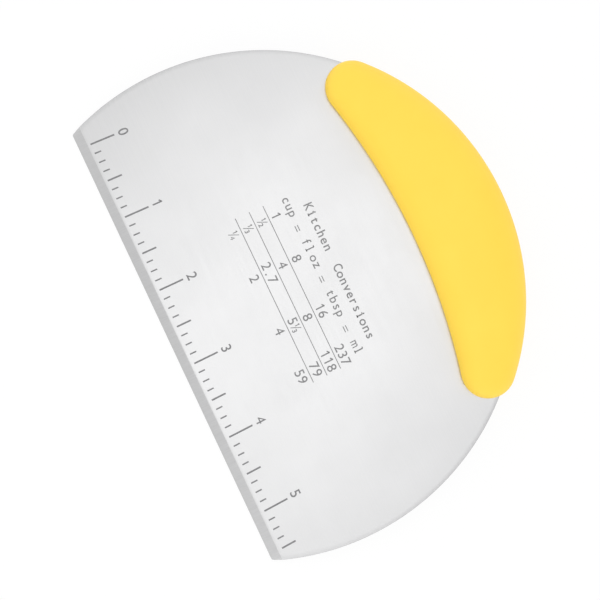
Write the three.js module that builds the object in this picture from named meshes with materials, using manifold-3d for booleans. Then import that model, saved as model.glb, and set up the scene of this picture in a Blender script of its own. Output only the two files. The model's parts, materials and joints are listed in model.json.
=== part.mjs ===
// A dough scraper: a D-shaped stainless steel blade with one ground edge, a stiff core moulded round the
// blade's curved back, and a soft grip moulded over the core.
// Sizes are in millimetres. The pieces are built in the blade's own frame: X along the straight edge,
// Y from the middle of that edge towards the grip, Z out of the marked face from the middle of the sheet.
// The tool is then laid on a flat surface, marked face up, with the origin under the middle of its box.
import * as THREE from 'three';
import { ParametricGeometry } from 'three/addons/geometries/ParametricGeometry.js';
import { mergeVertices } from 'three/addons/utils/BufferGeometryUtils.js';
import Module from 'manifold-3d';

const wasm = await Module();
wasm.setup();

// Blade
const bladeRadius = 81.6;
const bladeDepth = 117.2; // from the straight edge to the top of the arc
const bladeThickness = 1.2;
const cornerRadius = 0.7; // where the arc meets the straight edge
const rimBreak = 0.15; // chamfer that takes the burr off every edge
const bevelWidth = 3.2; // ground face along the straight edge
const edgeThickness = 0.5; // steel left at the straight edge

// Scale etched beside the bevel, in eighths of an inch
const markPitch = 3.175;
const markCount = 45;
const marksPerInch = 8;
const scaleInset = 4.9; // from the blade's corner to the zero mark
const markOffset = 0.7; // from the bevel to the marks
const markWidth = 0.4;
const markDepth = 0.08;
const inchMark = 7.9;
const halfInchMark = 4.7;
const shortMark = 2.1;

// Grip
const gripOverhang = 3; // beyond the top of the blade's arc
const gripWidth = 35; // across the middle
const gripBackRadius = 82.5;
const gripFrontRadius = 214;
const gripEndRadius = 9.7;
const gripThickness = 15;
const skinThickness = 1.6; // soft layer over the core
const frontFullness = 3.4; // how square the section is on the blade's side
const backFullness = 2.3; // and on the outer side
const endFullness = 2.2; // how soon the grip reaches its full thickness from its ends

// Plugs of the core that pass through the blade
const plugHoleDiameter = 7;
const plugCount = 5;
const plugPitch = 17; // along the arc that they stand on
const plugInset = 14; // from the blade's rim to their middle

const fitGap = 0.2; // room between two pieces
const overcut = 1; // how far a cutting solid runs past what it cuts

// Facets
const rimSteps = 96;
const cornerSteps = 2;
const holeSteps = 24;
const gripLengthSteps = 44;
const gripRoundSteps = 24;
const mergeDistance = 1e-4;

// The blade's arc, and half the length of the straight edge that cuts it off
const arcCentreY = bladeDepth - bladeRadius;
const halfEdge = Math.sqrt(bladeRadius ** 2 - arcCentreY ** 2);

// The grip's outline: a back arc outside the blade's own, a flatter front arc, and two round ends
const gripTop = bladeDepth + gripOverhang;
const backCentreY = gripTop - gripBackRadius;
const frontCentreY = gripTop - gripWidth - gripFrontRadius;
const backReach = gripBackRadius - gripEndRadius;
const frontReach = gripFrontRadius + gripEndRadius;
const reachDifference = frontReach ** 2 - backReach ** 2 + backCentreY ** 2 - frontCentreY ** 2;
const endY = reachDifference / (2 * (backCentreY - frontCentreY));
const endX = Math.sqrt(backReach ** 2 - (endY - backCentreY) ** 2);

// Points along an arc, without its last one
function arcPoints(x, y, radius, from, to, steps) {
  const points = [];
  for (let i = 0; i < steps; i++) {
    const angle = from + ((to - from) * i) / steps;
    points.push(new THREE.Vector2(x + radius * Math.cos(angle), y + radius * Math.sin(angle)));
  }
  return points;
}

// The blade's outline, moved outwards by grow
function bladeOutline(grow) {
  const cornerX = Math.sqrt((bladeRadius - cornerRadius) ** 2 - (arcCentreY - cornerRadius) ** 2);
  const turn = Math.atan2(cornerRadius - arcCentreY, cornerX);
  const corner = cornerRadius + grow;
  return new THREE.Shape([
    ...arcPoints(cornerX, cornerRadius, corner, -Math.PI / 2, turn, cornerSteps),
    ...arcPoints(0, arcCentreY, bladeRadius + grow, turn, Math.PI - turn, rimSteps),
    ...arcPoints(-cornerX, cornerRadius, corner, Math.PI - turn, 1.5 * Math.PI, cornerSteps),
    new THREE.Vector2(-cornerX, -grow),
  ]);
}

// The middles of the plugs
function plugPlaces() {
  const radius = bladeRadius - plugInset;
  const places = [];
  for (let i = 0; i < plugCount; i++) {
    const angle = ((i - (plugCount - 1) / 2) * plugPitch) / radius;
    places.push(new THREE.Vector2(radius * Math.sin(angle), arcCentreY + radius * Math.cos(angle)));
  }
  return places;
}

// A closed geometry as a solid that can be cut and joined
function solidFrom(geometry) {
  geometry.deleteAttribute('normal');
  geometry.deleteAttribute('uv');
  const merged = mergeVertices(geometry, mergeDistance);
  const corners = merged.getIndex().array;
  const triangles = [];
  for (let i = 0; i < corners.length; i += 3) {
    const [a, b, c] = corners.slice(i, i + 3);
    if (a !== b && b !== c && c !== a) triangles.push(a, b, c);
  }
  const vertProperties = merged.getAttribute('position').array;
  const triVerts = new Uint32Array(triangles);
  return new wasm.Manifold(new wasm.Mesh({ numProp: 3, vertProperties, triVerts }));
}

// A flat plate of the given outline, centred on Z = 0, with its edges broken by a chamfer
function plate(outline, thickness, chamfer) {
  const geometry = new THREE.ExtrudeGeometry(outline, {
    depth: thickness - 2 * chamfer,
    bevelEnabled: chamfer > 0,
    bevelThickness: chamfer,
    bevelSize: chamfer,
    bevelOffset: -chamfer,
    bevelSegments: 1,
  });
  geometry.translate(0, 0, chamfer - thickness / 2);
  return solidFrom(geometry);
}

// The prism of steel that grinding takes off along the straight edge
function bevelCut() {
  const slope = (bladeThickness - edgeThickness) / bevelWidth;
  const edgeTop = edgeThickness - bladeThickness / 2;
  const top = bladeThickness / 2 + slope * overcut;
  const section = new THREE.Shape([
    new THREE.Vector2(-overcut, edgeTop - slope * overcut),
    new THREE.Vector2(bevelWidth + overcut, top),
    new THREE.Vector2(-overcut, top),
  ]);
  const length = 2 * (halfEdge + overcut);
  const geometry = new THREE.ExtrudeGeometry(section, { depth: length, bevelEnabled: false });
  const alongY = new THREE.Vector3(0, 1, 0);
  const alongZ = new THREE.Vector3(0, 0, 1);
  const alongX = new THREE.Vector3(1, 0, 0);
  geometry.applyMatrix4(new THREE.Matrix4().makeBasis(alongY, alongZ, alongX));
  geometry.translate(-length / 2, 0, 0);
  return solidFrom(geometry);
}

// One etched mark of the scale, counted from zero
function scaleMark(index) {
  let length = shortMark;
  if (index % (marksPerInch / 2) === 0) length = halfInchMark;
  if (index % marksPerInch === 0) length = inchMark;
  const geometry = new THREE.BoxGeometry(markWidth, length, 2 * markDepth);
  const x = scaleInset - halfEdge + index * markPitch;
  geometry.translate(x, bevelWidth + markOffset + length / 2, bladeThickness / 2);
  return solidFrom(geometry);
}

function makeBlade() {
  const outline = bladeOutline(0);
  for (const place of plugPlaces()) {
    const rim = arcPoints(place.x, place.y, plugHoleDiameter / 2, 0, 2 * Math.PI, holeSteps);
    outline.holes.push(new THREE.Path(rim));
  }
  let blade = plate(outline, bladeThickness, rimBreak).subtract(bevelCut());
  for (let i = 0; i < markCount; i++) blade = blade.subtract(scaleMark(i));
  return blade;
}

// The room that the blade takes up in the pieces moulded round it
function bladeRoom() {
  return plate(bladeOutline(fitGap), bladeThickness + 2 * fitGap, 0);
}

// Where a ray from the middle of the straight edge, turned away from Y, enters and leaves a circle
function rayThrough(angle, x, y, radius) {
  const middle = x * Math.sin(angle) + y * Math.cos(angle);
  const half = Math.sqrt(Math.max(0, radius ** 2 - (x ** 2 + y ** 2 - middle ** 2)));
  return [middle - half, middle + half];
}

// The angle, seen from the middle of the straight edge, at which an arc of the outline runs into an end
function turnAngle(centreY, radius) {
  const away = Math.atan2(endX, endY - centreY);
  return Math.atan2(radius * Math.sin(away), centreY + radius * Math.cos(away));
}

// Where that ray enters and leaves the grip's outline, drawn in by inset
function gripSpan(angle, inset) {
  const side = Math.abs(angle);
  const back = gripBackRadius - inset;
  const front = gripFrontRadius + inset;
  let [near, far] = rayThrough(side, endX, endY, gripEndRadius - inset);
  if (side < turnAngle(frontCentreY, front)) near = rayThrough(side, 0, frontCentreY, front)[1];
  if (side < turnAngle(backCentreY, back)) far = rayThrough(side, 0, backCentreY, back)[1];
  return [near, far];
}

// The grip's rounded form, drawn in by inset on all sides: sections across it, from end to end
function gripForm(inset) {
  const endAngle = Math.atan2(endX, endY) + Math.asin((gripEndRadius - inset) / Math.hypot(endX, endY));
  const widest = gripWidth / 2 - inset;
  const thickest = gripThickness / 2 - inset;
  const surface = (u, v, target) => {
    const angle = endAngle * Math.sin(Math.PI * (u - 0.5));
    const [near, far] = gripSpan(angle, inset);
    const half = (far - near) / 2;
    const round = 2 * Math.PI * v;
    const across = -Math.cos(round);
    const fullness = across < 0 ? frontFullness : backFullness;
    const rise = Math.sign(Math.sin(round)) * Math.sqrt(1 - Math.abs(across) ** fullness);
    const narrowing = Math.max(0, 1 - half / widest);
    const height = thickest * (1 - narrowing ** endFullness);
    const reach = (near + far) / 2 + half * across;
    target.set(reach * Math.sin(angle), reach * Math.cos(angle), height * rise);
  };
  return solidFrom(new ParametricGeometry(surface, gripLengthSteps, gripRoundSteps));
}

// The core fills the grip round the blade, and its plugs join its two sides through the blade's holes
function makeCore() {
  let room = bladeRoom();
  for (const place of plugPlaces()) {
    const radius = plugHoleDiameter / 2 - fitGap;
    const plug = new THREE.CylinderGeometry(radius, radius, bladeThickness + 2 * overcut, holeSteps);
    plug.rotateX(Math.PI / 2);
    plug.translate(place.x, place.y, 0);
    room = room.subtract(solidFrom(plug));
  }
  return gripForm(skinThickness + fitGap).subtract(room);
}

// The grip is a skin over the core, open where the blade comes out
function makeGrip() {
  return gripForm(0).subtract(gripForm(skinThickness)).subtract(bladeRoom());
}

function piece(name, solid, material) {
  const { vertProperties, triVerts } = solid.getMesh();
  const geometry = new THREE.BufferGeometry();
  geometry.setAttribute('position', new THREE.BufferAttribute(vertProperties, 3));
  geometry.setIndex(new THREE.BufferAttribute(triVerts, 1));
  geometry.computeVertexNormals();
  const mesh = new THREE.Mesh(geometry, new THREE.MeshStandardMaterial(material));
  mesh.name = name;
  return mesh;
}

// How far the tool tips when it lies on the lower corner of its straight edge and on the grip
function restAngle(grip) {
  const points = grip.geometry.getAttribute('position');
  let steepest = 0;
  for (let i = 0; i < points.count; i++) {
    const drop = -bladeThickness / 2 - points.getZ(i);
    steepest = Math.max(steepest, Math.atan2(drop, points.getY(i) - rimBreak));
  }
  return steepest;
}

const blade = piece('blade', makeBlade(), { color: 0xe4e5e6, roughness: 0.38, metalness: 1 });
const core = piece('handle_core', makeCore(), { color: 0xf1efe8, roughness: 0.55, metalness: 0 });
const grip = piece('soft_grip', makeGrip(), { color: 0xffdf58, roughness: 0.6, metalness: 0 });

const scraper = new THREE.Group();
scraper.add(blade, core, grip);
scraper.rotation.x = restAngle(grip);

// Stand the origin on the surface, under the middle of the tool's box
const box = new THREE.Box3().setFromObject(scraper, true);
const middle = box.getCenter(new THREE.Vector3());
scraper.position.set(-middle.x, -middle.y, -box.min.z);

const part = new THREE.Group();
part.add(scraper);
export default part;
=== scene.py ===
import json
import math
import bmesh
import bpy
from mathutils import Matrix, Vector


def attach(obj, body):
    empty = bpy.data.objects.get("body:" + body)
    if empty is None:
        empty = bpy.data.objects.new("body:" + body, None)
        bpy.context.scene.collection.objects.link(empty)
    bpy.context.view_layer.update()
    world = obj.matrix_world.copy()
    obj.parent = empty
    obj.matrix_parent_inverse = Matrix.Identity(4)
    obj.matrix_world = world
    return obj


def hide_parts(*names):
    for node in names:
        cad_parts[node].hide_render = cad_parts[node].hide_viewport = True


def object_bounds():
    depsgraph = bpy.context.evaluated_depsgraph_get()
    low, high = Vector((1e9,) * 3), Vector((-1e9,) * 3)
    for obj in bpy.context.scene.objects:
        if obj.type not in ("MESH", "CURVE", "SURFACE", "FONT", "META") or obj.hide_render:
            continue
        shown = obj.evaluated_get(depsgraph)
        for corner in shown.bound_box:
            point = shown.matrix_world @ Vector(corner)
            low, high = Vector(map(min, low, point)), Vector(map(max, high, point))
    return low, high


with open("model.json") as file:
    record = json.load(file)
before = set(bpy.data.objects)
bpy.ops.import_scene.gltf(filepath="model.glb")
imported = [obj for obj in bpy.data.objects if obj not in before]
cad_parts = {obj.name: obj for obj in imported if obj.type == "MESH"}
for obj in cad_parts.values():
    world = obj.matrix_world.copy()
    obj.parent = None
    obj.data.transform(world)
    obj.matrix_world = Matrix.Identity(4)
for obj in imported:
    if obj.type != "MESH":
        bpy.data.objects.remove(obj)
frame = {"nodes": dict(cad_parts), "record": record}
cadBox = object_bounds()
mm = 0.001
weldReach = 1e-5  # corners closer than this, in millimetres, are one
print("frame loaded with", sorted(frame["nodes"]))


# Where the blade lies. The sizes below are in millimetres in the blade's own frame: x along the straight
# edge, y from the middle of that edge to the grip, z out of the marked face from the middle of the sheet.
plateSizes = {
    "radius": 81.6,
    "depth": 117.2,  # straight edge to the top of the arc
    "thickness": 1.2,
    "cornerRadius": 0.7,
    "leastCorner": 0.1,  # what a ring that is drawn in keeps of it
    "bevelWidth": 3.2,
    "edgeThickness": 0.5,
    "edgeChamfer": 0.15,  # at the back, below the flat of the edge
    "shoulder": 0.45,  # half the width of the soft step above the bevel
    "shoulderRows": (-1.6, -1, -0.5, 0, 0.5, 1, 1.6),  # rows of corners across it, in those halves
    "rollWidth": 1.5,  # the sheet rolls down slightly towards its cut rim
    "rollDrop": 0.06,
    "rollStart": 0.3,  # width of the flat ring where the roll starts
    "rimRound": 0.3,
    "backRound": 0.15,
    "edgeRound": 0.2,  # how much of the rim's rounding the straight edge has
    "edgeRoll": 0.03,  # how much of the roll it has
    "arcSteps": 300,
    "cornerSteps": 6,
    "roundSteps": 5,
    "backSteps": 2,
    "sharpAngle": 30,  # degrees
}
arcCentre = plateSizes["depth"] - plateSizes["radius"]
halfEdge = math.sqrt(plateSizes["radius"] ** 2 - arcCentre ** 2)
topFace = plateSizes["thickness"] / 2

edgeMount = next(m for m in frame["record"]["mounts"] if m["name"] == "working_edge")
restLean = math.atan2(-edgeMount["axis"][2], -edgeMount["axis"][1])
landMiddle = (plateSizes["edgeChamfer"] + plateSizes["edgeThickness"]) / 2 - topFace
leanTurn = Matrix.Rotation(restLean, 4, "X")
bladePlace = Matrix.Translation(edgeMount["pos_m"]) @ leanTurn @ Matrix.Translation((0, 0, -landMiddle * mm))


def addObject(name, data):
    thing = bpy.data.objects.new(name, data)
    bpy.context.scene.collection.objects.link(thing)
    return thing


# Makes a piece from a bmesh drawn in the blade's frame, and puts it on the tool
def makePiece(name, bm, materials, standsFor=None):
    mesh = bpy.data.meshes.new(name)
    bmesh.ops.recalc_face_normals(bm, faces=bm.faces)
    bmesh.ops.scale(bm, vec=(mm, mm, mm), verts=bm.verts)
    bm.to_mesh(mesh)
    bm.free()
    for material in materials:
        mesh.materials.append(material)
    piece = addObject(name, mesh)
    piece.matrix_world = bladePlace
    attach(piece, "root")
    if standsFor:
        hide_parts(standsFor)
    return piece


def smoothShade(piece, sharpAngle):
    for polygon in piece.data.polygons:
        polygon.use_smooth = True
    piece.data.set_sharp_from_angle(angle=math.radians(sharpAngle))


# Node helpers
def setInputs(tree, node, inputs):
    for key, value in inputs.items():
        if isinstance(value, bpy.types.NodeSocket):
            tree.links.new(value, node.inputs[key])
        else:
            node.inputs[key].default_value = value


def addNode(tree, kind, inputs=None, **settings):
    node = tree.nodes.new(kind)
    for key, value in settings.items():
        setattr(node, key, value)
    setInputs(tree, node, inputs or {})
    return node


def addMath(tree, operation, first, second):
    return addNode(tree, "ShaderNodeMath", {0: first, 1: second}, operation=operation).outputs[0]


def newMaterial(name):
    material = bpy.data.materials.new(name)
    material.use_nodes = True
    tree = material.node_tree
    tree.nodes.clear()
    shader = addNode(tree, "ShaderNodeBsdfPrincipled")
    addNode(tree, "ShaderNodeOutputMaterial", {"Surface": shader.outputs["BSDF"]})
    return material, tree, shader


# Noise whose stretch is in waves per metre along x, y and z
def stretchedNoise(tree, stretch, detail=3.0, roughness=0.55):
    place = addNode(tree, "ShaderNodeTexCoord")
    mapping = addNode(tree, "ShaderNodeMapping", {"Vector": place.outputs["Object"], "Scale": stretch})
    inputs = {"Vector": mapping.outputs["Vector"], "Scale": 1.0, "Detail": detail, "Roughness": roughness}
    return addNode(tree, "ShaderNodeTexNoise", inputs).outputs["Fac"]


# Spreads the usual range of one noise, or another range, from low to high
def spread(tree, value, low, high, fromLow=0.3, fromHigh=0.7):
    inputs = {"Value": value, "From Min": fromLow, "From Max": fromHigh, "To Min": low, "To Max": high}
    return addNode(tree, "ShaderNodeMapRange", inputs).outputs["Result"]


mixSockets = {"factor": 0, "first": 6, "second": 7, "result": 2}  # of the Mix node for colours


def mixColors(tree, factor, first, second):
    inputs = {
        mixSockets["factor"]: factor,
        mixSockets["first"]: (*first, 1.0),
        mixSockets["second"]: (*second, 1.0),
    }
    return addNode(tree, "ShaderNodeMix", inputs, data_type="RGBA").outputs[mixSockets["result"]]


def bumpFrom(tree, height, depth):
    return addNode(tree, "ShaderNodeBump", {"Height": height, "Distance": depth * mm}).outputs["Normal"]


# Camera, close above the marked face as in the photograph
cameraSet = {
    "lens": 36.0,
    "sensor": 36.0,
    "aim": (-5.127, 61.504),  # where its axis meets the marked face
    "distance": 196.49,
    "lean": 8.783,  # degrees off the face's normal
    "leanTowards": -83.595,  # degrees from x to y
    "pictureUp": 154.3,  # degrees from x to y
    "shift": (-0.06712, -0.08643),
    "clip": (0.01, 50),  # metres
}


def makeCamera():
    lean = math.radians(cameraSet["lean"])
    towards = math.radians(cameraSet["leanTowards"])
    back = Vector((math.sin(lean) * math.cos(towards), math.sin(lean) * math.sin(towards), math.cos(lean)))
    upAngle = math.radians(cameraSet["pictureUp"])
    up = Vector((math.cos(upAngle), math.sin(upAngle), 0))
    up = (up - up.dot(back) * back).normalized()
    right = up.cross(back)
    aim = Vector((*cameraSet["aim"], topFace))
    turn = Matrix((right, up, back)).transposed().to_4x4()
    data = bpy.data.cameras.new("photoCamera")
    data.lens = cameraSet["lens"]
    data.sensor_width = cameraSet["sensor"]
    data.shift_x, data.shift_y = cameraSet["shift"]
    data.clip_start, data.clip_end = cameraSet["clip"]
    camera = addObject("photoCamera", data)
    camera.matrix_world = bladePlace @ Matrix.Translation((aim + back * cameraSet["distance"]) * mm) @ turn
    bpy.context.scene.camera = camera


makeCamera()
print("camera set")


# Satin steel: long fine grain along the straight edge
steelFinish = {
    "light": (0.688, 0.688, 0.692),
    "dark": (0.662, 0.662, 0.666),
    "roughness": (0.34, 0.44),
    "grain": (45, 2600, 900),
    "fineGrain": (160, 9000, 4000),
    "smudge": (38, 30, 30),
    "grainRange": (0.75, 1.25),  # of the two grains together
    "wholeRange": (1.2, 1.8),  # of the grains and the smudges
    "bump": 0.004,
    "anisotropy": 0.5,
}
grainMapName = "acrossGrain"


# The way along which the highlights of grained steel are drawn out
def grainTangent(tree):
    tangent = addNode(tree, "ShaderNodeTangent", direction_type="UV_MAP", uv_map=grainMapName)
    return tangent.outputs["Tangent"]


def satinSteel():
    material, tree, shader = newMaterial("satinSteel")
    grain = stretchedNoise(tree, steelFinish["grain"])
    fine = stretchedNoise(tree, steelFinish["fineGrain"], detail=2.0)
    smudge = stretchedNoise(tree, steelFinish["smudge"], detail=4.0)
    both = addMath(tree, "ADD", grain, fine)
    whole = addMath(tree, "ADD", both, smudge)
    lightness = spread(tree, both, 0, 1, *steelFinish["grainRange"])
    setInputs(tree, shader, {
        "Base Color": mixColors(tree, lightness, steelFinish["dark"], steelFinish["light"]),
        "Roughness": spread(tree, whole, *steelFinish["roughness"], *steelFinish["wholeRange"]),
        "Normal": bumpFrom(tree, both, steelFinish["bump"]),
        "Tangent": grainTangent(tree),
        "Metallic": 1.0,
        "Anisotropic": steelFinish["anisotropy"],
    })
    return material


# Ground steel of the bevel: short scratches square to the edge. Its colours are darker than the face's,
# partly from the ground finish and partly as painted shade for the tilted bevel.
groundFinishAndShade = {
    "light": (0.6, 0.6, 0.604),
    "dark": (0.53, 0.53, 0.534),
    "roughness": (0.32, 0.44),
    "scratch": (5200, 160, 160),
    "bump": 0.006,
    "anisotropy": 0.4,
}


def groundSteel():
    material, tree, shader = newMaterial("groundSteel")
    scratch = stretchedNoise(tree, groundFinishAndShade["scratch"], detail=4.0, roughness=0.65)
    lightness = spread(tree, scratch, 0, 1)
    setInputs(tree, shader, {
        # the darker bevel colour here is partly painted shade, standing in for the light the tilted bevel
        # misses
        "Base Color": mixColors(tree, lightness, groundFinishAndShade["dark"], groundFinishAndShade["light"]),
        "Roughness": spread(tree, scratch, *groundFinishAndShade["roughness"]),
        "Normal": bumpFrom(tree, scratch, groundFinishAndShade["bump"]),
        "Tangent": grainTangent(tree),
        "Metallic": 1.0,
        "Anisotropic": groundFinishAndShade["anisotropy"],
    })
    return material


# Sheared rim: streaks through the sheet's thickness, worn brighter in places
rimFinish = {
    "light": (0.64, 0.64, 0.644),
    "dark": (0.48, 0.48, 0.484),
    "roughness": (0.32, 0.55),
    "streak": (2400, 2400, 260),
    "bump": 0.01,
}


def shearedSteel():
    material, tree, shader = newMaterial("shearedSteel")
    streak = stretchedNoise(tree, rimFinish["streak"], detail=4.0, roughness=0.6)
    lightness = spread(tree, streak, 0, 1)
    setInputs(tree, shader, {
        "Base Color": mixColors(tree, lightness, rimFinish["dark"], rimFinish["light"]),
        "Roughness": spread(tree, streak, *rimFinish["roughness"]),
        "Normal": bumpFrom(tree, streak, rimFinish["bump"]),
        "Metallic": 1.0,
    })
    return material


# The blade: a D-shaped plate with a ground bevel along its straight edge
onFace, onBevel, onRim = range(3)  # places of its three finishes


def arcPoints(x, y, radius, start, stop, steps):
    angles = [start + (stop - start) * step / steps for step in range(steps)]
    return [(x + radius * math.cos(angle), y + radius * math.sin(angle)) for angle in angles]


def plateOutline(inset, edgeInset):
    sizes = plateSizes
    radius = sizes["radius"] - inset
    corner = max(sizes["cornerRadius"] - inset, sizes["leastCorner"])
    cornerY = edgeInset + corner
    cornerX = math.sqrt((radius - corner) ** 2 - (arcCentre - cornerY) ** 2)
    turn = math.atan2(cornerY - arcCentre, cornerX)
    points = arcPoints(cornerX, cornerY, corner, -math.pi / 2, turn, sizes["cornerSteps"])
    points += arcPoints(0, arcCentre, radius, turn, math.pi - turn, sizes["arcSteps"])
    points += arcPoints(-cornerX, cornerY, corner, math.pi - turn, 1.5 * math.pi, sizes["cornerSteps"])
    return points + [(-cornerX, edgeInset)]


# Rings from the marked face over the rim to the back: inset from the arc, inset from the edge, height
def plateRings():
    sizes = plateSizes
    rings = [(sizes["rollWidth"] + sizes["rollStart"], 0.0)]
    for step in range(sizes["roundSteps"]):
        done = step / sizes["roundSteps"]
        inset = sizes["rollWidth"] - done * (sizes["rollWidth"] - sizes["rimRound"])
        rings.append((inset, done ** 2 * sizes["rollDrop"]))
    for step in range(sizes["roundSteps"] + 1):
        angle = math.pi / 2 * step / sizes["roundSteps"]
        inset = sizes["rimRound"] * (1 - math.sin(angle))
        rings.append((inset, sizes["rollDrop"] + sizes["rimRound"] * (1 - math.cos(angle))))
    places = []
    for inset, drop in rings:
        rounding = sizes["edgeRound"] * min(inset, sizes["rimRound"])
        rolling = sizes["edgeRoll"] * max(0, inset - sizes["rimRound"])
        places.append((inset, rounding + rolling, topFace - drop))
    for step in range(sizes["backSteps"] + 1):
        angle = math.pi / 2 * step / sizes["backSteps"]
        inset = sizes["backRound"] * (1 - math.cos(angle))
        places.append((inset, inset, sizes["backRound"] * (1 - math.sin(angle)) - topFace))
    return places


def plateShell():
    bm = bmesh.new()
    rings = []
    for inset, edgeInset, z in plateRings():
        rings.append([bm.verts.new((x, y, z)) for x, y in plateOutline(inset, edgeInset)])
    bm.faces.new(rings[0])
    bm.faces.new(rings[-1][::-1])
    count = len(rings[0])
    for index, (ring, after) in enumerate(zip(rings, rings[1:])):
        for i in range(count):
            face = bm.faces.new((ring[i], after[i], after[(i + 1) % count], ring[(i + 1) % count]))
            face.material_index = onRim if index > plateSizes["roundSteps"] else onFace
    bmesh.ops.recalc_face_normals(bm, faces=bm.faces)
    return bm


# The sheet's thickness at a place across the blade
def plateThickness(y):
    sizes = plateSizes
    rise = (sizes["thickness"] - sizes["edgeThickness"]) / sizes["bevelWidth"]
    below = sizes["bevelWidth"] - y
    soft = sizes["shoulder"]
    if below > soft:
        return sizes["thickness"] - rise * below
    return sizes["thickness"] - rise * max(0, below + soft) ** 2 / (4 * soft)


# Cuts rows of corners across the shoulder, then thins the sheet towards its straight edge
def grindBevel(bm):
    sizes = plateSizes
    for row in sizes["shoulderRows"]:
        parts = bm.verts[:] + bm.edges[:] + bm.faces[:]
        place = (0, sizes["bevelWidth"] + row * sizes["shoulder"], 0)
        bmesh.ops.bisect_plane(bm, geom=parts, plane_co=place, plane_no=(0, 1, 0), dist=weldReach)
    for vertex in bm.verts:
        left = plateThickness(vertex.co.y) / sizes["thickness"]
        vertex.co.z = (vertex.co.z + topFace) * left - topFace
    bm.normal_update()


# Gives the bevel its finish, and each face the way its grain runs
def setGrain(bm):
    grainMap = bm.loops.layers.uv.new(grainMapName)
    mapSize = 100  # millimetres
    bevelTop = plateSizes["bevelWidth"] - plateSizes["shoulder"] / 2
    for face in bm.faces:
        marked = face.material_index == onFace and face.normal.z > 0.5  # the back points down
        if marked and face.calc_center_median().y < bevelTop:
            face.material_index = onBevel
        for loop in face.loops:
            along = loop.vert.co.x / mapSize
            across = loop.vert.co.y / mapSize
            loop[grainMap].uv = (along, across) if face.material_index == onBevel else (across, -along)


def makeBlade():
    bm = plateShell()
    grindBevel(bm)
    setGrain(bm)
    finishes = [satinSteel(), groundSteel(), shearedSteel()]
    piece = makePiece("blade_plate", bm, finishes, "blade")
    smoothShade(piece, plateSizes["sharpAngle"])


makeBlade()
print("blade made")


# Grip: rounded sections across a crescent, squarer on the blade's side
gripSizes = {
    "overhang": 3.0,
    "width": 35.0,
    "backRadius": 82.5,
    "frontRadius": 214.0,
    "endRadius": 9.7,
    "thickness": 15.0,
    "frontFullness": 3.4,
    "backFullness": 2.3,
    "endFullness": 2.2,
    "lipDepth": 0.4,  # the skin is drawn in where it meets the blade
    "lipReach": (0.7, 1.7),  # heights over which the lip fades
    "shift": 0.3,  # the moulding sits a little to one side of the blade
    "lengthSteps": 180,
    "roundSteps": 128,
    "crowding": 0.7,  # more steps round the lip
    "sharpAngle": 80,  # degrees
}
gripTop = plateSizes["depth"] + gripSizes["overhang"]
backCentre = gripTop - gripSizes["backRadius"]
frontCentre = gripTop - gripSizes["width"] - gripSizes["frontRadius"]
backReach = gripSizes["backRadius"] - gripSizes["endRadius"]
frontReach = gripSizes["frontRadius"] + gripSizes["endRadius"]
reachDifference = frontReach ** 2 - backReach ** 2 + backCentre ** 2 - frontCentre ** 2
endY = reachDifference / (2 * (backCentre - frontCentre))
endX = math.sqrt(backReach ** 2 - (endY - backCentre) ** 2)


# Where a ray from the middle of the straight edge goes into a circle and comes out
def rayThrough(angle, x, y, radius):
    middle = x * math.sin(angle) + y * math.cos(angle)
    half = math.sqrt(max(0, radius ** 2 - (x ** 2 + y ** 2 - middle ** 2)))
    return middle - half, middle + half


# The ray's angle where an arc of the outline meets the round end
def turnAngle(centreY, radius):
    away = math.atan2(endX, endY - centreY)
    return math.atan2(radius * math.sin(away), centreY + radius * math.cos(away))


def gripSpan(angle):
    side = abs(angle)
    near, far = rayThrough(side, endX, endY, gripSizes["endRadius"])
    if side < turnAngle(frontCentre, gripSizes["frontRadius"]):
        near = rayThrough(side, 0, frontCentre, gripSizes["frontRadius"])[1]
    if side < turnAngle(backCentre, gripSizes["backRadius"]):
        far = rayThrough(side, 0, backCentre, gripSizes["backRadius"])[1]
    return near, far


def lipInset(height):
    low, high = gripSizes["lipReach"]
    share = min(1, max(0, (high - height) / (high - low)))
    return gripSizes["lipDepth"] * share ** 2 * (3 - 2 * share)


def gripSection(angle):
    near, far = gripSpan(angle)
    half = (far - near) / 2
    narrowing = max(0, 1 - 2 * half / gripSizes["width"])
    height = gripSizes["thickness"] / 2 * (1 - narrowing ** gripSizes["endFullness"])
    points = []
    for step in range(gripSizes["roundSteps"]):
        turn = 2 * math.pi * step / gripSizes["roundSteps"]
        turn -= gripSizes["crowding"] * math.sin(turn)
        across = -math.cos(turn)
        fullness = gripSizes["frontFullness"] if across < 0 else gripSizes["backFullness"]
        rise = math.copysign(math.sqrt(max(0, 1 - abs(across) ** fullness)), math.sin(turn))
        reach = (near + far) / 2 + half * across
        z = height * rise
        if across < 0:
            reach += lipInset(abs(z)) * min(1, half / gripSizes["endRadius"])
        points.append((reach * math.sin(angle), reach * math.cos(angle), z))
    return points


# Soft grip: satin skin with a very fine moulded texture
rubberFinish = {
    "light": (1.0, 0.68, 0.066),
    "deep": (0.99, 0.663, 0.06),
    "roughness": (0.46, 0.58),
    "texture": (5200, 5200, 5200),
    "cloud": (60, 60, 60),
    "bump": 0.02,
}


def gripRubber():
    material, tree, shader = newMaterial("gripRubber")
    texture = stretchedNoise(tree, rubberFinish["texture"], detail=2.0)
    cloud = stretchedNoise(tree, rubberFinish["cloud"], detail=4.0)
    lightness = spread(tree, cloud, 0, 1)
    setInputs(tree, shader, {
        "Base Color": mixColors(tree, lightness, rubberFinish["deep"], rubberFinish["light"]),
        "Roughness": spread(tree, texture, *rubberFinish["roughness"]),
        "Normal": bumpFrom(tree, texture, rubberFinish["bump"]),
    })
    return material


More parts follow.
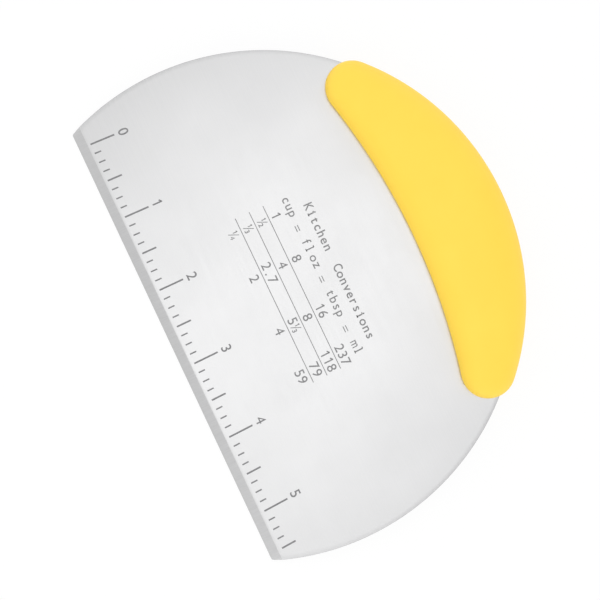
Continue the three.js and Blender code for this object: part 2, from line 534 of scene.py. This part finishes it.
def makeGrip():
    endAngle = math.atan2(endX, endY) + math.asin(gripSizes["endRadius"] / math.hypot(endX, endY))
    bm = bmesh.new()
    rings = []
    for step in range(1, gripSizes["lengthSteps"]):
        angle = endAngle * math.sin(math.pi * (step / gripSizes["lengthSteps"] - 0.5))
        rings.append([bm.verts.new(point) for point in gripSection(angle)])
    count = gripSizes["roundSteps"]
    for ring, after in zip(rings, rings[1:]):
        for i in range(count):
            bm.faces.new((ring[i], ring[(i + 1) % count], after[(i + 1) % count], after[i]))
    for ring, angle in ((rings[0], -endAngle), (rings[-1], endAngle)):
        tip = bm.verts.new(gripSection(angle)[0])
        for i in range(count):
            bm.faces.new((tip, ring[i], ring[(i + 1) % count]))
    bmesh.ops.translate(bm, verts=bm.verts, vec=(gripSizes["shift"], 0, 0))
    piece = makePiece("grip_skin", bm, [gripRubber()], "soft_grip")
    smoothShade(piece, gripSizes["sharpAngle"])


makeGrip()
print("grip made")


# The hidden core keeps its shape and gets a plain moulded finish
coreFinish = {
    "light": (0.88, 0.87, 0.82),
    "dark": (0.84, 0.83, 0.78),
    "roughness": (0.5, 0.6),
    "grain": (900, 900, 900),
}


def corePlastic():
    material, tree, shader = newMaterial("corePlastic")
    grain = stretchedNoise(tree, coreFinish["grain"])
    lightness = spread(tree, grain, 0, 1)
    setInputs(tree, shader, {
        "Base Color": mixColors(tree, lightness, coreFinish["dark"], coreFinish["light"]),
        "Roughness": spread(tree, grain, *coreFinish["roughness"]),
    })
    return material


core = frame["nodes"]["handle_core"]
core.data.materials.clear()
core.data.materials.append(corePlastic())
print("core finished")


# Etched marks: a thin grey layer in the steel, a little stronger on the scale than in the table
markFinish = {
    "scaleLight": (0.275, 0.275, 0.28),
    "scaleDark": (0.18, 0.18, 0.185),
    "tableLight": (0.305, 0.305, 0.31),
    "tableDark": (0.203, 0.203, 0.208),
    "roughness": (0.55, 0.75),
    "metallic": 0.35,
    "speckle": (2600, 2600, 2600),
}


def etchedMark(name, dark, light):
    material, tree, shader = newMaterial(name)
    speckle = stretchedNoise(tree, markFinish["speckle"])
    setInputs(tree, shader, {
        "Base Color": mixColors(tree, spread(tree, speckle, 0, 1), dark, light),
        "Roughness": spread(tree, speckle, *markFinish["roughness"]),
        "Metallic": markFinish["metallic"],
    })
    return material


scaleMark = etchedMark("scaleMark", markFinish["scaleDark"], markFinish["scaleLight"])
tableMark = etchedMark("tableMark", markFinish["tableDark"], markFinish["tableLight"])
markSizes = {
    "depth": 0.012,  # a mark stands this far in and out of the face
    "turn": 0.2,  # degrees off the straight edge
    "shift": (0.3, 0.13),  # off the middle of the blade
}


# Puts a set of marks on the face, turned and shifted as the etching is
def makeMarks(name, bm, material):
    turn = Matrix.Rotation(math.radians(markSizes["turn"]), 3, "Z")
    bmesh.ops.rotate(bm, verts=bm.verts, cent=(0, 0, 0), matrix=turn)
    bmesh.ops.translate(bm, verts=bm.verts, vec=(*markSizes["shift"], 0))
    makePiece(name, bm, [material])


def addBar(bm, x, y, width, height, angle=0.0):
    place = Matrix.Translation((x, y, topFace)) @ Matrix.Rotation(angle, 4, "Z")
    size = Matrix.Diagonal((width, height, 2 * markSizes["depth"], 1))
    bmesh.ops.create_cube(bm, size=1.0, matrix=place @ size)


# Lettering. Widths and shifts are shares of a figure's cell, and the other sizes of its height.
letterShape = {
    "capHeight": 0.69,  # of the built-in font at size 1
    "stroke": 0.092,
    "width": 0.9,  # no letter is wider
    "curveSteps": 5,
    "stemEnds": {"l": 1.04, "i": 0.76},  # letters that get feet, and where their stems end
    "footWidth": 0.42,
    "flagWidth": 0.24,
}
oneShape = {
    "stroke": 0.13,
    "shift": 0.06,
    "flagLength": 0.3,
    "flagSlant": 42,  # degrees
    "flagStroke": 0.9,  # this and the next two are shares of the stem's stroke
    "flagIn": 0.1,
    "flagDown": 0.35,
}
equalsShape = {"rises": (0.06, 0.36), "stroke": 0.1, "width": 0.84}
half, third, quarter = "\u00bd", "\u2153", "\u00bc"
fractionShape = {
    "under": {half: "2", third: "3", quarter: "4"},
    "height": 0.49,  # of its small figures
    "weight": 0.016,  # added to theirs, in the font's units
    "overShift": -0.27,
    "overWidth": 0.45,
    "underShift": 0.29,
    "underWidth": 0.48,
    "slashStroke": 0.08,
    "slashLength": 1.02,
    "slashWidth": 0.56,
    "slashShift": -0.02,
}


def strokeWidth(share, height, weight):
    return height * (share + 2 * weight / letterShape["capHeight"])


# A figure one with a flag, which the built-in font draws as a plain bar
def addOne(bm, x, baseline, height, cell, weight):
    stem = x + oneShape["shift"] * cell
    stroke = strokeWidth(oneShape["stroke"], height, weight)
    addBar(bm, stem, baseline + height / 2, stroke, height)
    flag = oneShape["flagLength"] * height
    slant = math.radians(oneShape["flagSlant"])
    flagX = stem - flag / 2 * math.cos(slant) - oneShape["flagIn"] * stroke
    flagY = baseline + height - flag / 2 * math.sin(slant) - oneShape["flagDown"] * stroke
    addBar(bm, flagX, flagY, flag, oneShape["flagStroke"] * stroke, slant)


def addEquals(bm, x, baseline, height, cell):
    for rise in equalsShape["rises"]:
        width = equalsShape["width"] * cell
        addBar(bm, x, baseline + rise * height, width, equalsShape["stroke"] * height)


# The foot and the flag of a narrow letter
def addFeet(bm, stemEnd, x, baseline, height, cell, weight):
    stroke = strokeWidth(letterShape["stroke"], height, weight)
    flag = letterShape["flagWidth"] * cell
    addBar(bm, x, baseline + stroke / 2, letterShape["footWidth"] * cell, stroke)
    addBar(bm, x - flag / 2, baseline + stemEnd * height - stroke / 2, flag, stroke)


# A letter of the built-in font at size 1, as a mesh
def letterMesh(character, weight):
    data = bpy.data.curves.new("character", "FONT")
    data.body = character
    data.size = 1.0
    data.resolution_u = letterShape["curveSteps"]
    data.offset = 0.0 if character == "4" else weight  # more would close the four
    data.extrude = markSizes["depth"]
    shape = addObject("character", data)
    mesh = bpy.data.meshes.new_from_object(shape.evaluated_get(bpy.context.evaluated_depsgraph_get()))
    bpy.data.objects.remove(shape)
    bpy.data.curves.remove(data)
    return mesh


# A letter drawn to the wanted figure height and no wider than its cell allows
def addLetter(bm, character, x, baseline, height, cell, weight):
    mesh = letterMesh(character, weight)
    left = min(v.co.x for v in mesh.vertices)
    right = max(v.co.x for v in mesh.vertices)
    scale = height / letterShape["capHeight"]
    narrow = min(1.0, letterShape["width"] * cell / ((right - left) * scale))
    if character in letterShape["stemEnds"]:
        addFeet(bm, letterShape["stemEnds"][character], x, baseline, height, cell, weight)
    for vertex in mesh.vertices:
        vertex.co.x = x + (vertex.co.x - (left + right) / 2) * scale * narrow
        vertex.co.y = baseline + vertex.co.y * scale
        vertex.co.z = topFace + math.copysign(markSizes["depth"], vertex.co.z)
    letter = bmesh.new()
    letter.from_mesh(mesh)
    bmesh.ops.remove_doubles(letter, verts=letter.verts, dist=weldReach)  # joins its sides to its faces
    letter.to_mesh(mesh)
    letter.free()
    bm.from_mesh(mesh)
    bpy.data.meshes.remove(mesh)


# A fraction in one cell: small figures either side of a long slash
def addFraction(bm, under, x, baseline, height, cell, weight):
    shape = fractionShape
    small = shape["height"] * height
    heavy = weight + shape["weight"]
    overX = x + shape["overShift"] * cell
    addOne(bm, overX, baseline + height - small, small, shape["overWidth"] * cell, heavy)
    underX = x + shape["underShift"] * cell
    addLetter(bm, under, underX, baseline, small, shape["underWidth"] * cell, heavy)
    lean = math.atan2(shape["slashWidth"] * cell, height)
    slash = shape["slashLength"] * height / math.cos(lean)
    slashX = x + shape["slashShift"] * cell
    addBar(bm, slashX, baseline + height / 2, shape["slashStroke"] * height, slash, -lean)


def addString(bm, string, x, baseline, height, pitch, weight):
    start = x - pitch * (len(string) - 1) / 2
    for i, character in enumerate(string):
        place = start + i * pitch
        if character == "1":
            addOne(bm, place, baseline, height, pitch, weight)
        elif character == "=":
            addEquals(bm, place, baseline, height, pitch)
        elif character in fractionShape["under"]:
            addFraction(bm, fractionShape["under"][character], place, baseline, height, pitch, weight)
        elif character != " ":
            addLetter(bm, character, place, baseline, height, pitch, weight)


# Scale along the straight edge
scaleSizes = {
    "pitch": 3.175,  # an eighth of an inch
    "count": 45,
    "perInch": 8,
    "inset": 4.9,  # from the blade's corner to the zero mark
    "start": 4.0,
    "lineWidth": 0.54,
    "shortWidth": 0.45,
    "inch": 7.9,
    "half": 4.7,
    "short": 2.1,
    "numeralBase": 13.25,
    "numeralHeight": 3.15,
    "numeralCell": 2.4,
    "numeralWeight": 0.008,
    "numeralNudges": (0.2, -0.1, 0.2, 0.1, -0.3, -0.3),  # off the middle of their marks
}


def makeScale():
    sizes = scaleSizes
    zero = sizes["inset"] - halfEdge
    bm = bmesh.new()
    for index in range(sizes["count"]):
        length, width = sizes["short"], sizes["shortWidth"]
        if index % (sizes["perInch"] // 2) == 0:
            length, width = sizes["half"], sizes["lineWidth"]
        if index % sizes["perInch"] == 0:
            length = sizes["inch"]
        addBar(bm, zero + index * sizes["pitch"], sizes["start"] + length / 2, width, length)
    makeMarks("scale_marks", bm, scaleMark)
    numerals = bmesh.new()
    for inch, nudge in enumerate(sizes["numeralNudges"]):
        x = zero + inch * sizes["perInch"] * sizes["pitch"] + nudge
        addString(numerals, str(inch), x, sizes["numeralBase"], sizes["numeralHeight"],
                  sizes["numeralCell"], sizes["numeralWeight"])
    makeMarks("scale_numerals", numerals, scaleMark)


makeScale()
print("scale made")


# Table of kitchen measures in the middle of the blade. Each cell is what it says and where its middle is.
tableSizes = {
    "baselines": (45.5, 40.5, 35.65, 30.5),
    "rules": (44.5, 39.65, 34.75),
    "ruleEnds": (-28.3, 29.85),
    "ruleWidth": 0.25,
    "figureHeight": 3.12,
    "pitch": 2.45,
    "figureWeight": 0.005,
    "wordWeight": 0.007,
    "headWeight": 0.012,
    "unitBaseline": 50.85,
    "unitHeight": 2.95,
    "headBaseline": 56.5,
    "headMiddle": 1.35,
}
tableFigures = (
    (("1", -23.7), ("8", -8.3), ("16", 10.4), ("237", 26.2)),
    ((half, -23.6), ("4", -8.3), ("8", 10.3), ("118", 25.9)),
    ((third, -23.6), ("2.7", -7.8), ("5" + third, 10.5), ("79", 26.5)),
    ((quarter, -23.7), ("2", -8.2), ("4", 10.4), ("59", 26.4)),
)
unitWords = (
    ("cup", -24.5), ("=", -17.0), ("fl", -10.55), ("oz", -4.8),
    ("=", 1.3), ("tbsp", 10.2), ("=", 19.1), ("ml", 26.0),
)
headWords = "Kitchen  Conversions"


def makeTable():
    sizes = tableSizes
    left, right = sizes["ruleEnds"]
    rules = bmesh.new()
    for y in sizes["rules"]:
        addBar(rules, (left + right) / 2, y, right - left, sizes["ruleWidth"])
    makeMarks("table_rules", rules, tableMark)
    figures = bmesh.new()
    for row, baseline in zip(tableFigures, sizes["baselines"]):
        for string, x in row:
            addString(figures, string, x, baseline, sizes["figureHeight"], sizes["pitch"],
                      sizes["figureWeight"])
    makeMarks("table_figures", figures, tableMark)
    words = bmesh.new()
    for string, x in unitWords:
        addString(words, string, x, sizes["unitBaseline"], sizes["unitHeight"], sizes["pitch"],
                  sizes["wordWeight"])
    addString(words, headWords, sizes["headMiddle"], sizes["headBaseline"], sizes["unitHeight"],
              sizes["pitch"], sizes["headWeight"])
    makeMarks("table_words", words, tableMark)


makeTable()
print("table made")


# Floor, in metres: it looks white, more so further away, and keeps the tool's shadow
stageSet = {
    "floorSize": 8.0,
    "floorParts": 8,
    "floorGap": 0.0002,  # below the tool
    "floorColor": (0.95, 0.95, 0.95),
    "floorRoughness": 0.9,
    "whiten": (0.85, 1.0),  # share of plain white near the tool and far from it
    "whitenReach": (0.3, 1.2),
}


def floorPaper():
    material, tree, shader = newMaterial("floorPaper")
    setInputs(tree, shader, {
        "Base Color": (*stageSet["floorColor"], 1),
        "Roughness": stageSet["floorRoughness"],
        "Specular IOR Level": 0.0,
    })
    path = addNode(tree, "ShaderNodeLightPath").outputs
    seen = addMath(tree, "MAXIMUM", path["Is Camera Ray"], path["Is Glossy Ray"])
    seen = addMath(tree, "MAXIMUM", seen, path["Is Transmission Ray"])
    place = addNode(tree, "ShaderNodeTexCoord").outputs["Object"]
    away = addNode(tree, "ShaderNodeVectorMath", {0: place}, operation="LENGTH").outputs["Value"]
    whiten = spread(tree, away, *stageSet["whiten"], *stageSet["whitenReach"])
    white = addNode(tree, "ShaderNodeEmission", {"Color": (1, 1, 1, 1), "Strength": 1.0})
    inputs = {
        0: addMath(tree, "MULTIPLY", seen, whiten),
        1: shader.outputs["BSDF"],
        2: white.outputs["Emission"],
    }
    mix = addNode(tree, "ShaderNodeMixShader", inputs)
    setInputs(tree, tree.get_output_node("ALL"), {"Surface": mix.outputs["Shader"]})
    return material


def makeFloor():
    bm = bmesh.new()
    parts = stageSet["floorParts"]
    bmesh.ops.create_grid(bm, x_segments=parts, y_segments=parts, size=stageSet["floorSize"] / 2)
    mesh = bpy.data.meshes.new("floor")
    bm.to_mesh(mesh)
    bm.free()
    mesh.materials.append(floorPaper())
    floor = addObject("floor", mesh)
    floor.location.z = cadBox[0].z - stageSet["floorGap"]


# Soft lamps round the tool, in metres: level is how bright each looks, where 1 is white
lightSet = {
    "overhead": {"towards": (0.033, -0.045, 1.0), "distance": 1.0, "size": (0.93, 1.08), "level": 0.795},
    "rightSide": {"towards": (1.0, 0.0, 0.55), "distance": 1.1, "size": (1.4, 0.7), "level": 0.37},
    "gripSide": {"towards": (-0.79, 0.62, 0.55), "distance": 1.1, "size": (1.4, 0.7), "level": 0.52},
    "leftEdge": {"towards": (-0.71, -0.71, 0.55), "distance": 1.1, "size": (1.4, 0.7), "level": 0.4},
    "rightEdge": {"towards": (0.71, -0.71, 0.55), "distance": 1.1, "size": (1.4, 0.7), "level": 0.47},
}
skySet = {"above": 0.705, "horizon": 1.05, "fadeHeight": 0.5}  # a pale tent, brighter low down


def makeLights():
    for name, setting in lightSet.items():
        data = bpy.data.lights.new(name, "AREA")
        data.shape = "RECTANGLE"
        data.size, data.size_y = setting["size"]
        data.energy = setting["level"] * math.pi * data.size * data.size_y
        lamp = addObject(name, data)
        back = Vector(setting["towards"]).normalized()
        lamp.location = back * setting["distance"]
        lamp.rotation_euler = (-back).to_track_quat("-Z", "Y").to_euler()


def makeWorld():
    world = bpy.data.worlds.new("studio")
    bpy.context.scene.world = world
    world.use_nodes = True
    tree = world.node_tree
    direction = addNode(tree, "ShaderNodeTexCoord").outputs["Generated"]
    height = addNode(tree, "ShaderNodeSeparateXYZ", {"Vector": direction}).outputs["Z"]
    level = spread(tree, height, skySet["horizon"], skySet["above"], 0, skySet["fadeHeight"])
    setInputs(tree, tree.nodes["Background"], {"Color": (1, 1, 1, 1), "Strength": level})


makeFloor()
makeLights()
makeWorld()
bpy.context.scene.view_settings.view_transform = "Standard"
print("stage made")
